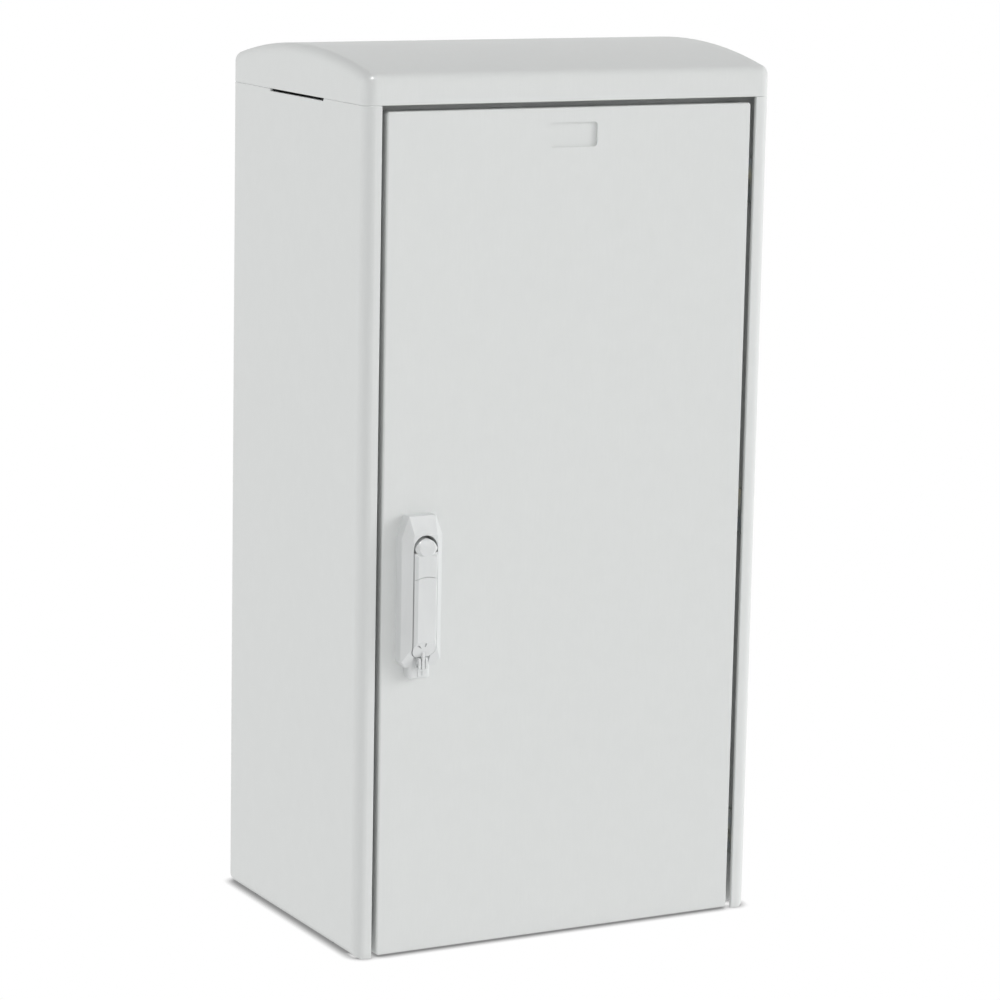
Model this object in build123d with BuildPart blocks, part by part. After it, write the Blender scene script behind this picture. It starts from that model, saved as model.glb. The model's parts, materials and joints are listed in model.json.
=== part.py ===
from build123d import *
import math
import os

# Free-standing roadside utility cabinet of moulded glass-fibre polyester, in millimetres.
# The origin is at the bottom centre, +Z is up, and the door faces -Y and hangs on the +X side.
# Depths are counted from the cabinet's front plane: positive inwards, negative towards the viewer.

os.makedirs("parts", exist_ok=True)

# Cabinet envelope
width = 508.0
depth = 349.0
seam_height = 946.0
wall = 4.0
flange_width = 20.0
front_corner_r = 13.5
back_corner_r = 13.0
bottom_corner_r = 14.0
back_lap = 25.0
edge_round = 1.0
vent_length = 139.0
vent_height = 3.0
slip = 0.2
overrun = 5.0

# Roof
roof_face_height = 32.5
roof_rise = 21.5
roof_edge_r = 11.5
roof_boss_r = 7.0
roof_boss_inset_x = 74.0
roof_boss_inset_y = 74.0

# Gaps round the inset door
gap_left = 6.2
gap_right = 6.8
gap_top = 6.5
gap_bottom = 2.0

# Door moulding
door_skin = 4.0
door_return = 20.0
door_edge_r = 2.2
door_corner_r = 3.4
stiffener = 3.0
stiffener_depth = 8.0
lower_stiffener_shares = (0.54, 0.88)
upper_stiffener_shares = (0.23, 0.49)
label_width = 57.5
label_height = 25.4
label_drop = 18.3
label_recess = 1.5
label_corner_r = 4.0

# Door seal: a clip-on gasket on the door's carrier rib, pressed on the cabinet's seal ribs
seal_depth = 27.0
seal_rib = 4.0
carrier_rib = 3.0
carrier_inset = 10.0
carrier_inset_hinge = 28.0
carrier_corner_r = 14.0
gasket_width = 10.0
gasket_grip = 8.0
gasket_gap = 0.3
seal_margin = 3.0

# Base, top and back panels
floor_thickness = 6.0
ceiling_drop = 7.0
panel_boss_r = 8.0
panel_boss_height = 20.0
panel_boss_inset_y = 70.0
anchor_hole_r = 6.5
anchor_spacing_x = 380.0
anchor_spacing_y = 200.0
cable_cut_x = 240.0
cable_cut_y = 120.0
gland_plate_lap = 14.0
gland_plate_thickness = 3.0
ceiling_slot_length = 60.0
ceiling_slot_width = 5.0
ceiling_slot_pitch_x = 90.0
ceiling_slot_pitch_y = 20.0
ceiling_slot_columns = 3
ceiling_slot_rows = 3
plate_margin_x = 50.0
plate_margin_z = 64.5
plate_thickness = 2.0
plate_standoff = 15.0
plate_boss_r = 9.0
plate_hole_inset = 20.0
back_screw_shares = (0.04, 0.5, 0.96)

# Hinges: pins behind the right flange, gooseneck arms that swing round the flange's edge
hinge_from_side = 13.5
hinge_depth = 9.5
hinge_inset = 88.0
hinge_arm_height = 23.0
hinge_bracket_height = 27.0
knuckle_r = 4.2
knuckle_gap = 0.3
hinge_pin_r = 2.5
hinge_pin_head_r = 4.0
hinge_pin_head = 2.0
running_gap = 0.05
arm_plate = 3.0
arm_seal_gap = 2.7
arm_stem_width = 4.0
arm_stem_shift = 1.5
arm_bend_r = 2.0
arm_boss_r = 5.5
arm_screw_shares = (0.26, 0.74)
bracket_plate = 3.5
bracket_web = 3.0
bracket_reach = 8.0
bracket_bolt_shares = (0.26, 0.74)

# Three-point lock: a pinion between two rack rods
handle_inset = 42.3
spindle_height = 465.0
gear_module = 2.0
pinion_teeth = 12
pressure_angle = 25.0
tooth_backlash = 0.4
tooth_root_gap = 0.5
rack_lead_teeth = 2
rack_trail_teeth = 6
rod_width = 8.0
rod_thickness = 8.0
rod_gap = 0.5
rod_tip_chamfer = 2.5
rod_lap = 12.0
keeper_plate = 2.5
keeper_side = 4.0
keeper_screw_pitch = 10.0
case_wall = 2.2
case_height = 86.0
case_corner_r = 3.0
pinion_hub_r = 6.5
spindle_square = 7.0
spindle_head_r = 9.0
tongue_width = 16.0
tongue_length = 37.0
tongue_thickness = 4.0
tongue_gap = 3.0
tongue_screw_length = 14.0
keeper_gap = 0.5
pedestal_wall = 3.0
case_screw_up = 34.0
case_boss_r = 4.5
side_keeper_height = 30.0
side_keeper_lap = 10.0
side_keeper_screw_pitch = 18.0
side_keeper_thread = 7.0
guide_height = 18.0
guide_wall = 3.0
guide_foot = 8.0
guide_foot_thickness = 3.0
lower_guide_share = 0.4
upper_guide_share = 0.7

# Swing handle
housing_width = 49.2
housing_above = 35.0
housing_below = 134.5
housing_height = 23.0
housing_bevel = 10.0
housing_top_taper_x = 8.0
housing_top_taper_z = 22.0
housing_foot_taper_x = 7.0
housing_foot_taper_z = 8.0
housing_top_facet = 9.0
housing_foot_ramp = 110.0
housing_foot_facet = 12.5
housing_edge_r = 1.8
housing_floor = 4.0
housing_spigot_r = 13.0
housing_screw_up = 24.0
housing_screw_down = 106.0
housing_boss_r = 4.5
housing_boss_height = 12.0
lever_width = 28.6
lever_gap = 0.5
lever_below = 122.0
lever_end_r = 9.0
lever_front = 27.5
lever_back = 5.0
lever_edge = 3.2
lever_hub_r = 11.3
lever_shoulder = 4.5
lever_ramp_top = 104.5
lever_ramp_front = 17.5
thumb_width = 7.0
thumb_height = 4.5
thumb_down = 107.0
thumb_depth = 4.5
lever_wall = 3.0
lever_pocket_top = 24.0
lever_pocket_end = 9.0
lever_pin_r = 2.5
lever_pin_depth = 14.0
lever_pin_grip = 6.0
lever_lift = 30.0
lever_hub_gap = 0.6
cover_thickness = 3.6
cover_top = 30.5
cover_arch = 3.5
cover_seam = 0.5
cover_slot_width = 2.0
cover_slot_length = 5.0
cover_slot_down = 107.0
foot_width = 27.0
foot_drop = 14.0
foot_height = 12.0
foot_edge_r = 4.5
foot_groove = 1.2
foot_groove_depth = 0.8
foot_groove_pitch = 5.6
foot_notch = 20.0
ear_pitch = 8.4
ear_thickness = 2.6
ear_length = 13.6
ear_height = 9.0
ear_round = 3.0
ear_hole_inset = 4.4
hasp_length = 13.6
shackle_hole_r = 2.6
hasp_thickness = 3.4

# Fasteners: shank radius, head radius and head height
small_screw = (2.0, 3.8, 2.4)
panel_screw = (2.5, 4.6, 3.0)
plate_screw = (3.0, 5.4, 3.6)
tongue_screw = (2.0, 6.0, 2.5)
thread_depth = 3.0
bore_gap = 0.1

# Places worked out from the sizes above
half_width = width / 2
front_y = -depth / 2
back_y = depth / 2
inner_x = half_width - wall
roof_eaves = seam_height + roof_face_height
door_left = -half_width + flange_width + gap_left
door_right = half_width - flange_width - gap_right
door_bottom = gap_bottom
door_top = seam_height - gap_top
door_mid_x = (door_left + door_right) / 2
door_mid_z = (door_bottom + door_top) / 2
carrier_left = door_left + carrier_inset
carrier_right = door_right - carrier_inset_hinge
carrier_bottom = door_bottom + carrier_inset
carrier_top = door_top - carrier_inset
seal_left = carrier_left + gasket_width / 2 + seal_margin
seal_right = carrier_right - gasket_width / 2 - seal_margin
sill_top = carrier_bottom + gasket_width / 2 + seal_margin
header_bottom = carrier_top - gasket_width / 2 - seal_margin
ceiling_top = seam_height - ceiling_drop
ceiling_bottom = ceiling_top - wall
seal_back = seal_depth + seal_rib
back_panel_back = back_y - wall
back_panel_front = back_panel_back - wall
boss_x = inner_x - panel_boss_r + wall / 2
boss_y = back_y - panel_boss_inset_y
hinge_x = half_width - hinge_from_side
hinge_y = front_y + hinge_depth
hinge_splits = {
    "top": door_top - hinge_inset,
    "middle": door_mid_z,
    "bottom": door_bottom + hinge_inset,
}
arm_back = seal_depth - arm_seal_gap
arm_front = arm_back - arm_plate
arm_boss_x = (carrier_right + gasket_width / 2 + door_right - door_skin) / 2
handle_x = door_left + handle_inset
pitch_r = gear_module * pinion_teeth / 2
tooth_pitch = math.pi * gear_module
tip_r = pitch_r + gear_module
root_r = pitch_r - gear_module - tooth_root_gap
rod_inner = pitch_r - gear_module
rod_outer = rod_inner + rod_width
rod_mid = (rod_inner + rod_outer) / 2
rod_slot = rod_width + 2 * rod_gap
rod_throw = pitch_r * math.pi / 2
rod_front = seal_back + keeper_plate + rod_gap
rod_back = rod_front + rod_thickness
case_front = rod_front - rod_gap - case_wall
cover_front = rod_back + rod_gap
cover_back = cover_front + case_wall
case_half = rod_outer + rod_gap + case_wall
tongue_front = cover_back + tongue_gap
tongue_back = tongue_front + tongue_thickness
lever_half = lever_width / 2
slot_r = lever_half + lever_gap
lever_axis_y = front_y - lever_pin_depth
guide_half = rod_slot / 2 + guide_wall
handle_top = spindle_height + housing_above
handle_bottom = spindle_height - housing_below


def under_handle(share):
    """A level between the door's bottom and the handle."""
    return door_bottom + share * (handle_bottom - door_bottom)


def over_handle(share):
    """A level between the handle and the door's top."""
    return handle_top + share * (door_top - handle_top)


guide_places = {
    "upper": (handle_x - rod_mid, over_handle(upper_guide_share)),
    "lower": (handle_x + rod_mid, under_handle(lower_guide_share)),
}
keeper_edge = handle_x - tongue_length + side_keeper_lap


def at_depth(distance):
    """The upright working plane at a depth behind the front plane, X to the right and Z up."""
    return Plane.XZ.offset(-(front_y + distance))


def at_spindle(distance):
    """The upright working plane at a depth, with its origin on the lock spindle's axis."""
    return Plane((handle_x, front_y + distance, spindle_height), x_dir=(1, 0, 0), z_dir=(0, -1, 0))


def block(x, y, z, mode=Mode.ADD):
    """A straight block between two limits along each axis."""
    with Locations(((x[0] + x[1]) / 2, (y[0] + y[1]) / 2, (z[0] + z[1]) / 2)):
        Box(x[1] - x[0], y[1] - y[0], z[1] - z[0], mode=mode)


def from_front(near, far):
    """Two depths as limits along Y."""
    return (front_y + near, front_y + far)


def facing(direction, points):
    """Seats for fasteners at points, with the heads pointing in a direction."""
    return [Plane(origin=point, z_dir=direction) for point in points]


def bores(places, radius, length):
    """Round holes along fasteners, from their seats inwards."""
    with Locations(*places):
        Cylinder(radius, length, align=(Align.CENTER, Align.CENTER, Align.MAX), mode=Mode.SUBTRACT)


def save(node, name):
    """Label a finished piece and write it to its own file."""
    node.part.label = name
    export_step(node.part, f"parts/{name}.step")


def fasteners(name, places, sizes, length):
    """A group of cylinder-head screws: each place is the seat under a head."""
    shank_r, head_r, head_height = sizes
    with BuildPart() as group:
        with Locations(*places):
            Cylinder(head_r, head_height, align=(Align.CENTER, Align.CENTER, Align.MIN))
            Cylinder(shank_r, length, align=(Align.CENTER, Align.CENTER, Align.MAX))
    save(group, name)


# Fastener seats that two or more pieces share
side_bosses = [(sx * boss_x, sy * boss_y) for sx in (-1, 1) for sy in (-1, 1)]
ceiling_seats = facing((0, 0, 1), [(x, y, ceiling_top) for x, y in side_bosses])
floor_head_recess = floor_thickness - thread_depth
floor_seats = facing((0, 0, -1), [(x, y, floor_head_recess) for x, y in side_bosses])
back_screw_x = half_width - (back_lap + back_corner_r) / 2
back_seats = facing(
    (0, -1, 0),
    [
        (sx * back_screw_x, back_panel_front, share * seam_height)
        for sx in (-1, 1)
        for share in back_screw_shares
    ],
)
roof_boss_x = half_width - roof_boss_inset_x
roof_boss_y = back_y - roof_boss_inset_y
roof_bosses = [(sx * roof_boss_x, sy * roof_boss_y) for sx in (-1, 1) for sy in (-1, 1)]
roof_seats = facing((0, 0, -1), [(x, y, ceiling_bottom) for x, y in roof_bosses])
plate_back = back_panel_front - plate_standoff
plate_front = plate_back - plate_thickness
plate_width = 2 * (inner_x - plate_margin_x)
plate_height = ceiling_bottom - floor_thickness - 2 * plate_margin_z
plate_hole_x = plate_width / 2 - plate_hole_inset
plate_hole_z = plate_height / 2 - plate_hole_inset
plate_mid_z = (floor_thickness + ceiling_bottom) / 2
plate_seats = facing(
    (0, -1, 0),
    [
        (sx * plate_hole_x, plate_front, plate_mid_z + sz * plate_hole_z)
        for sx in (-1, 1)
        for sz in (-1, 1)
    ],
)
gland_hole_x = (cable_cut_x + gland_plate_lap) / 2
gland_hole_y = (cable_cut_y + gland_plate_lap) / 2
gland_top = floor_thickness + gland_plate_thickness
gland_seats = facing(
    (0, 0, 1), [(sx * gland_hole_x, sy * gland_hole_y, gland_top) for sx in (-1, 1) for sy in (-1, 1)]
)
bracket_bolt_x = hinge_x - bracket_web / 2 - bracket_reach
bracket_seats = facing(
    (0, -1, 0),
    [
        (bracket_bolt_x, front_y + seal_depth - bracket_plate, split - share * hinge_bracket_height)
        for split in hinge_splits.values()
        for share in bracket_bolt_shares
    ],
)
arm_seats = facing(
    (0, 1, 0),
    [
        (arm_boss_x, front_y + arm_back, split + share * hinge_arm_height)
        for split in hinge_splits.values()
        for share in arm_screw_shares
    ],
)
case_seats = facing(
    (0, 1, 0),
    [(handle_x, front_y + cover_back, spindle_height + sz * case_screw_up) for sz in (-1, 1)],
)
handle_seats = facing(
    (0, 1, 0),
    [
        (handle_x, front_y + door_skin, spindle_height + up)
        for up in (housing_screw_up, -housing_screw_down)
    ],
)
tongue_seats = facing((0, 1, 0), [(handle_x, front_y + tongue_back, spindle_height)])
guide_seats = facing(
    (0, 1, 0),
    [
        (x + sx * (guide_half + guide_foot / 2), front_y + door_skin + guide_foot_thickness, z)
        for x, z in guide_places.values()
        for sx in (-1, 1)
    ],
)
upper_keeper_z = (header_bottom, ceiling_bottom)
lower_keeper_z = (floor_thickness, sill_top)
keeper_seats = facing(
    (0, 1, 0),
    [
        (
            handle_x + side * (rod_inner - (column + 1 / 2) * keeper_screw_pitch),
            front_y + seal_back + keeper_plate,
            sum(limits) / 2,
        )
        for side, limits in ((-1, upper_keeper_z), (1, lower_keeper_z))
        for column in (0, 1)
    ],
)
side_keeper_left = keeper_edge - 2 * side_keeper_lap
side_keeper_seats = facing(
    (0, -1, 0),
    [
        (
            side_keeper_left + small_screw[1] + slip,
            front_y + seal_depth,
            spindle_height + sz * side_keeper_screw_pitch / 2,
        )
        for sz in (-1, 1)
    ],
)


def side_panel(side, rib_edge, bracket_bolts):
    """A moulded side: flange, rounded corners, wall, back return, seal rib, bosses and vent notch."""
    with BuildPart() as panel:
        with BuildSketch() as plan:
            Rectangle(width, depth)
            fillet(plan.vertices().group_by(Axis.Y)[0], front_corner_r)
            fillet(plan.vertices().group_by(Axis.Y)[-1], back_corner_r)
            offset(amount=-wall, mode=Mode.SUBTRACT)
            with Locations((0, -depth / 2)):
                Rectangle(width - 2 * flange_width, depth, mode=Mode.SUBTRACT)
            with Locations((0, depth / 2)):
                Rectangle(width - 2 * back_lap, depth, mode=Mode.SUBTRACT)
            with Locations((-side * half_width, 0)):
                Rectangle(width, depth + overrun, mode=Mode.SUBTRACT)
            flange_tip = (side * (half_width - flange_width), front_y, 0)
            fillet(plan.vertices().sort_by_distance(flange_tip)[0], edge_round)
        extrude(amount=seam_height)
        fillet(panel.faces().sort_by(Axis.Z)[-1].edges(), edge_round)
        with BuildSketch(Plane.YZ) as outline:
            with Locations((0, seam_height / 2)):
                Rectangle(depth, seam_height)
            fillet(outline.vertices().group_by(Axis.Y)[0].sort_by(Axis.X)[-1], bottom_corner_r)
        extrude(amount=width, both=True, mode=Mode.INTERSECT)
        rib_x = sorted((rib_edge, side * (inner_x + wall / 2)))
        block(rib_x, from_front(seal_depth, seal_back), (0, ceiling_bottom))
        with Locations(*[(x, y, floor_thickness) for x, y in side_bosses if x * side > 0]):
            Cylinder(panel_boss_r, panel_boss_height, align=(Align.CENTER, Align.CENTER, Align.MIN))
        with Locations(*[(x, y, ceiling_bottom) for x, y in side_bosses if x * side > 0]):
            Cylinder(panel_boss_r, panel_boss_height, align=(Align.CENTER, Align.CENTER, Align.MAX))
        notch_x = sorted((side * (half_width + overrun), side * (inner_x - overrun)))
        notch_y = (-vent_length / 2, vent_length / 2)
        block(notch_x, notch_y, (seam_height - vent_height, seam_height + overrun), Mode.SUBTRACT)
        shank_r = panel_screw[0] + bore_gap
        bores([seat for seat in ceiling_seats if seat.origin.X * side > 0], shank_r, panel_boss_height)
        bores([seat for seat in floor_seats if seat.origin.X * side > 0], shank_r, panel_boss_height)
        bores([seat for seat in back_seats if seat.origin.X * side > 0], shank_r, wall + thread_depth)
        if bracket_bolts:
            bores(bracket_seats, shank_r, bracket_plate + seal_rib + overrun)
        else:
            bores(side_keeper_seats, small_screw[0] + bore_gap, seal_rib + overrun)
    return panel


left_panel = side_panel(-1, seal_left, False)
right_panel = side_panel(1, seal_right, True)


def vault(inset):
    """The roof's rounded barrel-vault block, drawn in from the outside by an even inset."""
    half_depth = back_y - inset
    eaves = roof_eaves - inset
    with BuildPart() as body:
        with BuildSketch(Plane.YZ):
            with BuildLine():
                Polyline(
                    (half_depth, eaves),
                    (half_depth, seam_height),
                    (-half_depth, seam_height),
                    (-half_depth, eaves),
                )
                ThreePointArc((-half_depth, eaves), (0, eaves + roof_rise), (half_depth, eaves))
            make_face()
        extrude(amount=half_width - inset, both=True)
        fillet(body.edges().filter_by(Axis.Z).group_by(Axis.Y)[0], front_corner_r - inset)
        fillet(body.edges().filter_by(Axis.Z).group_by(Axis.Y)[-1], back_corner_r - inset)
        fillet(body.faces().sort_by(Axis.Z)[-1].edges(), roof_edge_r - inset)
    return body.part


roof_outside = vault(0)
roof_inside = vault(wall)
with BuildPart() as roof:
    add(roof_outside)
    fillet(roof.faces().sort_by(Axis.Z)[0].edges(), edge_round)
    add(roof_inside, mode=Mode.SUBTRACT)
    with BuildSketch(Plane.XY.offset(ceiling_top)):
        with Locations(*roof_bosses):
            Circle(roof_boss_r)
    extrude(until=Until.NEXT)
    bores(roof_seats, panel_screw[0] + bore_gap, wall + panel_boss_height)

with BuildPart() as back_panel:
    block(
        (-half_width + back_corner_r, half_width - back_corner_r),
        (back_panel_front, back_panel_back),
        (floor_thickness, seam_height),
    )
    boss_feet = [(seat.origin.X, back_panel_front, seat.origin.Z) for seat in plate_seats]
    with Locations(*facing((0, -1, 0), boss_feet)):
        Cylinder(plate_boss_r, plate_standoff, align=(Align.CENTER, Align.CENTER, Align.MIN))
    bores(plate_seats, plate_screw[0] + bore_gap, plate_thickness + plate_standoff)
    bores(back_seats, panel_screw[0] + bore_gap, wall + overrun)

with BuildPart() as base_tray:
    floor_front = seal_back + slip
    with BuildSketch() as plan:
        floor_depth = back_panel_back - slip - front_y - floor_front
        with Locations((0, front_y + floor_front + floor_depth / 2)):
            Rectangle(2 * (inner_x - slip), floor_depth)
        fillet(plan.vertices().group_by(Axis.Y)[-1], back_corner_r - wall - slip)
    extrude(amount=floor_thickness)
    with BuildSketch(Plane.YZ) as rounded:
        with Locations((0, seam_height / 2)):
            Rectangle(depth, seam_height)
        fillet(rounded.vertices().group_by(Axis.Y)[0].sort_by(Axis.X)[-1], bottom_corner_r)
    extrude(amount=width, both=True, mode=Mode.INTERSECT)
    with BuildSketch():
        Rectangle(cable_cut_x, cable_cut_y)
        with GridLocations(anchor_spacing_x, anchor_spacing_y, 2, 2):
            Circle(anchor_hole_r)
    extrude(amount=floor_thickness, mode=Mode.SUBTRACT)
    bores(floor_seats, panel_screw[0] + bore_gap, floor_thickness)
    with Locations(*floor_seats):
        Cylinder(
            panel_screw[1] + bore_gap,
            floor_thickness,
            align=(Align.CENTER, Align.CENTER, Align.MIN),
            mode=Mode.SUBTRACT,
        )
    bores(gland_seats, small_screw[0] + bore_gap, gland_plate_thickness + thread_depth)

# Rails between the side panels' seal ribs: the gasket closes on them, and the keepers sit behind
rail_x = (seal_left + slip, seal_right - slip)
with BuildPart() as sill_rail:
    block(rail_x, from_front(seal_depth, seal_back), (0, sill_top))
    bores(keeper_seats, small_screw[0] + bore_gap, keeper_plate + thread_depth)

with BuildPart() as header_rail:
    block(rail_x, from_front(seal_depth, seal_back), (header_bottom, ceiling_bottom))
    upstand_x = (-inner_x + slip, inner_x - slip)
    block(upstand_x, from_front(seal_depth, seal_back), (ceiling_bottom, seam_height - slip))
    bores(keeper_seats, small_screw[0] + bore_gap, keeper_plate + thread_depth)

with BuildPart() as gland_plate:
    with BuildSketch(Plane.XY.offset(floor_thickness)):
        RectangleRounded(cable_cut_x + 2 * gland_plate_lap, cable_cut_y + 2 * gland_plate_lap, panel_boss_r)
    extrude(amount=gland_plate_thickness)
    bores(gland_seats, small_screw[0] + bore_gap, gland_plate_thickness + overrun)

with BuildPart() as top_panel:
    with BuildSketch(Plane.XY.offset(ceiling_bottom)) as plan:
        ceiling_front = front_y + seal_back + slip
        ceiling_depth = back_panel_front - slip - ceiling_front
        with Locations((0, ceiling_front + ceiling_depth / 2)):
            Rectangle(2 * (inner_x - slip), ceiling_depth)
        fillet(plan.vertices().group_by(Axis.Y)[-1], back_corner_r - wall)
        with GridLocations(
            ceiling_slot_pitch_x, ceiling_slot_pitch_y, ceiling_slot_columns, ceiling_slot_rows
        ):
            SlotOverall(ceiling_slot_length, ceiling_slot_width, mode=Mode.SUBTRACT)
    extrude(amount=wall)
    bores(ceiling_seats, panel_screw[0] + bore_gap, wall + overrun)
    bores(roof_seats, panel_screw[0] + bore_gap, wall + overrun)

with BuildPart() as mounting_plate:
    with BuildSketch(Plane.XZ.offset(-plate_back)):
        with Locations((0, plate_mid_z)):
            RectangleRounded(plate_width, plate_height, edge_round)
    extrude(amount=plate_thickness)
    bores(plate_seats, plate_screw[0] + bore_gap, plate_thickness + overrun)


def hinge_bracket(split):
    """The fixed hinge leaf: a plate on the seal rib, a web and the lower knuckle with its pin hole."""
    low = split - hinge_bracket_height
    with BuildPart() as bracket:
        with BuildSketch(Plane.XY.offset(low)):
            plate_left = bracket_bolt_x - bracket_reach
            plate_right = hinge_x + bracket_reach
            with Locations(((plate_left + plate_right) / 2, front_y + seal_depth - bracket_plate / 2)):
                Rectangle(plate_right - plate_left, bracket_plate)
            web_length = seal_depth - hinge_depth
            with Locations((hinge_x, hinge_y + web_length / 2)):
                Rectangle(bracket_web, web_length)
            with Locations((hinge_x, hinge_y)):
                Circle(knuckle_r)
                Circle(hinge_pin_r, mode=Mode.SUBTRACT)
        extrude(amount=hinge_bracket_height - knuckle_gap)
        bores(bracket_seats, panel_screw[0] + bore_gap, bracket_plate + overrun)
    return bracket


def hinge_pin(split):
    """A headed pin, pressed into the bracket's knuckle and running in the arm's."""
    with BuildPart() as pin:
        with Locations((hinge_x, hinge_y, split - hinge_bracket_height)):
            Cylinder(
                hinge_pin_r,
                hinge_bracket_height + hinge_arm_height + knuckle_gap,
                align=(Align.CENTER, Align.CENTER, Align.MIN),
            )
        with Locations((hinge_x, hinge_y, split + hinge_arm_height + knuckle_gap)):
            Cylinder(hinge_pin_head_r, hinge_pin_head, align=(Align.CENTER, Align.CENTER, Align.MIN))
    return pin


def hinge_arm(split):
    """The door's hinge leaf: upper knuckle, a stem that goes inwards and a plate back to the door."""
    with BuildPart() as arm:
        with BuildSketch(Plane.XY.offset(split)) as plan:
            stem_right = hinge_x + arm_stem_shift + arm_stem_width / 2
            plate_left = arm_boss_x - arm_boss_r
            with Locations((hinge_x + arm_stem_shift, front_y + (hinge_depth + arm_back) / 2)):
                Rectangle(arm_stem_width, arm_back - hinge_depth)
            with Locations(((plate_left + stem_right) / 2, front_y + (arm_front + arm_back) / 2)):
                Rectangle(stem_right - plate_left, arm_plate)
            bend = plan.vertices().sort_by_distance((stem_right, front_y + arm_back, 0))[0]
            fillet(bend, arm_bend_r)
            with Locations((hinge_x, hinge_y)):
                Circle(knuckle_r)
                Circle(hinge_pin_r + running_gap, mode=Mode.SUBTRACT)
        extrude(amount=hinge_arm_height)
        bores(arm_seats, small_screw[0] + bore_gap, arm_plate + overrun)
    return arm


with BuildPart() as door_panel:
    with BuildSketch(at_depth(0)):
        with Locations((door_mid_x, door_mid_z)):
            RectangleRounded(door_right - door_left, door_top - door_bottom, door_corner_r)
    extrude(amount=-door_return)
    fillet(door_panel.faces().sort_by(Axis.Y)[0].edges(), door_edge_r)
    with BuildSketch(at_depth(door_skin)):
        with Locations((door_mid_x, door_mid_z)):
            RectangleRounded(
                door_right - door_left - 2 * door_skin,
                door_top - door_bottom - 2 * door_skin,
                edge_round,
            )
    extrude(amount=-door_return, mode=Mode.SUBTRACT)
    carrier_mid = ((carrier_left + carrier_right) / 2, (carrier_bottom + carrier_top) / 2)
    carrier_x = carrier_right - carrier_left
    carrier_z = carrier_top - carrier_bottom
    with BuildSketch(at_depth(door_skin)):
        with Locations(carrier_mid):
            RectangleRounded(
                carrier_x + carrier_rib, carrier_z + carrier_rib, carrier_corner_r + carrier_rib / 2
            )
            RectangleRounded(
                carrier_x - carrier_rib,
                carrier_z - carrier_rib,
                carrier_corner_r - carrier_rib / 2,
                mode=Mode.SUBTRACT,
            )
    extrude(amount=-(door_return - door_skin))
    levels = [under_handle(share) for share in lower_stiffener_shares]
    levels += [over_handle(share) for share in upper_stiffener_shares]
    for level in levels:
        block(
            (carrier_left, carrier_right),
            from_front(door_skin, door_skin + stiffener_depth),
            (level - stiffener / 2, level + stiffener / 2),
        )
    with BuildSketch(at_spindle(door_skin)):
        Rectangle(2 * case_half, case_height)
        Rectangle(2 * (case_half - pedestal_wall), case_height - 2 * pedestal_wall, mode=Mode.SUBTRACT)
        with Locations((0, case_screw_up), (0, -case_screw_up)):
            Circle(case_boss_r)
    extrude(amount=-(case_front - door_skin))
    bores(case_seats, small_screw[0] + bore_gap, cover_back - case_front + panel_boss_height)
    with BuildSketch(at_depth(door_skin)):
        with Locations(*[(seat.origin.X, seat.origin.Z) for seat in arm_seats]):
            Circle(arm_boss_r)
    extrude(amount=-(arm_front - door_skin))
    bores(arm_seats, small_screw[0] + bore_gap, arm_back - door_skin - thread_depth)
    with BuildSketch(at_depth(0)):
        with Locations((door_mid_x, door_top - label_drop - label_height / 2)):
            RectangleRounded(label_width, label_height, label_corner_r)
    extrude(amount=-label_recess, mode=Mode.SUBTRACT)
    with BuildSketch(at_spindle(0)):
        Circle(housing_spigot_r + slip)
        with Locations((0, housing_screw_up), (0, -housing_screw_down)):
            Circle(panel_screw[0] + slip)
    extrude(amount=-door_skin, mode=Mode.SUBTRACT)
    bores(guide_seats, small_screw[0] + bore_gap, guide_foot_thickness + thread_depth)

with BuildPart() as door_gasket:
    with BuildSketch(at_depth(door_return - gasket_grip)):
        with Locations(carrier_mid):
            RectangleRounded(
                carrier_x + gasket_width, carrier_z + gasket_width, carrier_corner_r + gasket_width / 2
            )
            RectangleRounded(
                carrier_x - gasket_width,
                carrier_z - gasket_width,
                carrier_corner_r - gasket_width / 2,
                mode=Mode.SUBTRACT,
            )
    extrude(amount=-(seal_depth - gasket_gap - door_return + gasket_grip))
    groove = carrier_rib + 2 * bore_gap
    with BuildSketch(at_depth(door_return - gasket_grip)):
        with Locations(carrier_mid):
            RectangleRounded(carrier_x + groove, carrier_z + groove, carrier_corner_r + groove / 2)
            RectangleRounded(
                carrier_x - groove, carrier_z - groove, carrier_corner_r - groove / 2, mode=Mode.SUBTRACT
            )
    extrude(amount=-(gasket_grip + bore_gap), mode=Mode.SUBTRACT)

# Lock case: an open-backed box on the door's pedestal, with slots where the rods leave it
with BuildPart() as lock_case:
    with BuildSketch(at_spindle(case_front)):
        RectangleRounded(2 * case_half, case_height, case_corner_r)
    extrude(amount=-(cover_front - case_front))
    with BuildSketch(at_spindle(case_front + case_wall)):
        Rectangle(2 * (case_half - case_wall), case_height - 2 * case_wall)
        with Locations((-rod_mid, case_height / 2), (rod_mid, -case_height / 2)):
            Rectangle(rod_slot, case_height)
        with Locations((0, case_screw_up), (0, -case_screw_up)):
            Circle(case_boss_r, mode=Mode.SUBTRACT)
    extrude(amount=-rod_thickness - 2 * rod_gap, mode=Mode.SUBTRACT)
    with BuildSketch(at_spindle(case_front)):
        Circle(pinion_hub_r + running_gap)
    extrude(amount=-case_wall, mode=Mode.SUBTRACT)
    bores(case_seats, small_screw[0] + bore_gap, cover_back - case_front + overrun)

with BuildPart() as lock_cover:
    with BuildSketch(at_spindle(cover_front)):
        RectangleRounded(2 * case_half, case_height, case_corner_r)
        Circle(pinion_hub_r + running_gap, mode=Mode.SUBTRACT)
    extrude(amount=-case_wall)
    bores(case_seats, small_screw[0] + bore_gap, case_wall + overrun)

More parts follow.
